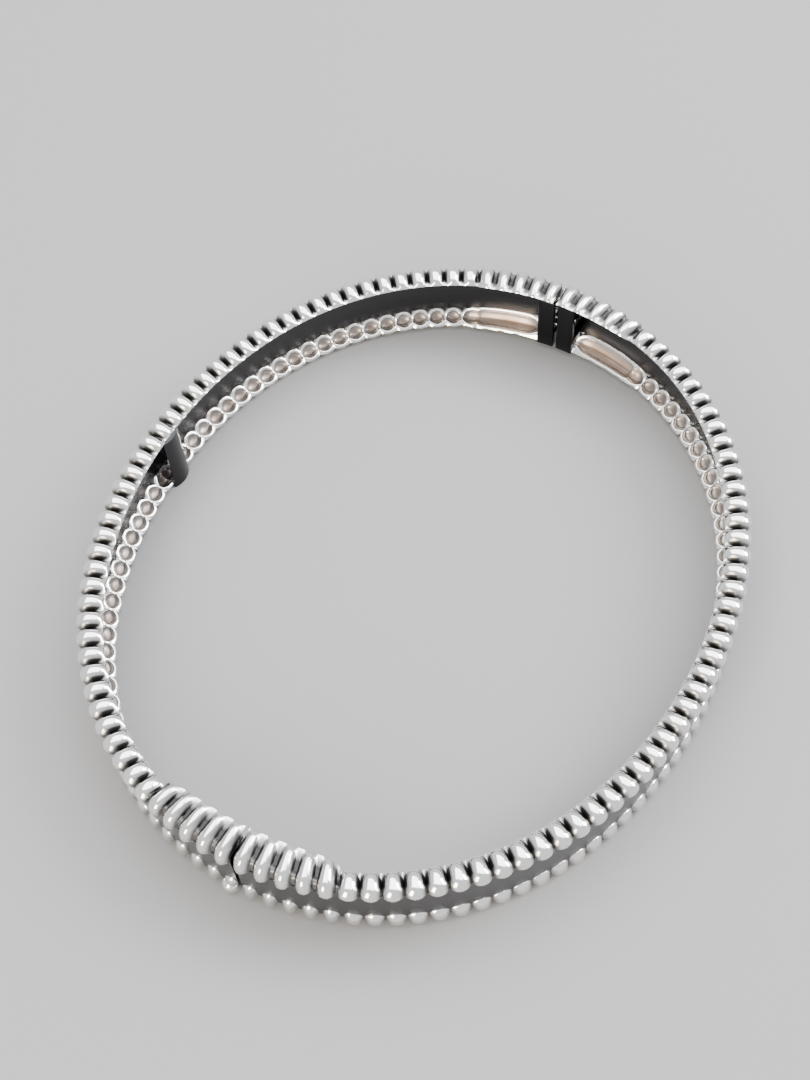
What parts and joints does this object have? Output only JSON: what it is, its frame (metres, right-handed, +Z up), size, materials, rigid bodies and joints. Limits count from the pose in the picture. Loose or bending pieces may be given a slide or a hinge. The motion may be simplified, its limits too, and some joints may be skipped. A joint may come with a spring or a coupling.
{
  "type": "hinged bangle",
  "caption": "Oval hinged bangle of polished white metal: paired ribbed rails with hollow backs, a smooth band between them, and leaf-shaped swellings over the hinge and the clasp.",
  "frame": {"origin": "centre of the oval, on the surface that the bangle lies on", "axes": "+X along the oval's long axis towards the hinge, +Y across it towards the half with the inside bar, +Z up through the wrist opening"},
  "size_m": [0.0669, 0.0576, 0.0083],
  "materials": {
    "polished_metal": "bright polished white metal, warm in its hollows",
    "pin_metal": "drawn white metal wire, polished"
  },
  "bodies": {
    "back": {"back_half": "polished_metal", "hinge_pin": "pin_metal"},
    "front": {"front_half": "polished_metal"}
  },
  "joints": [
    {"name": "bangle_hinge", "type": "hinge", "parent": "back", "child": "front", "pos_m": [0.0323, 0, 0.00387], "axis": [0, 0, 1], "range_deg": [0, 40]}
  ]
}
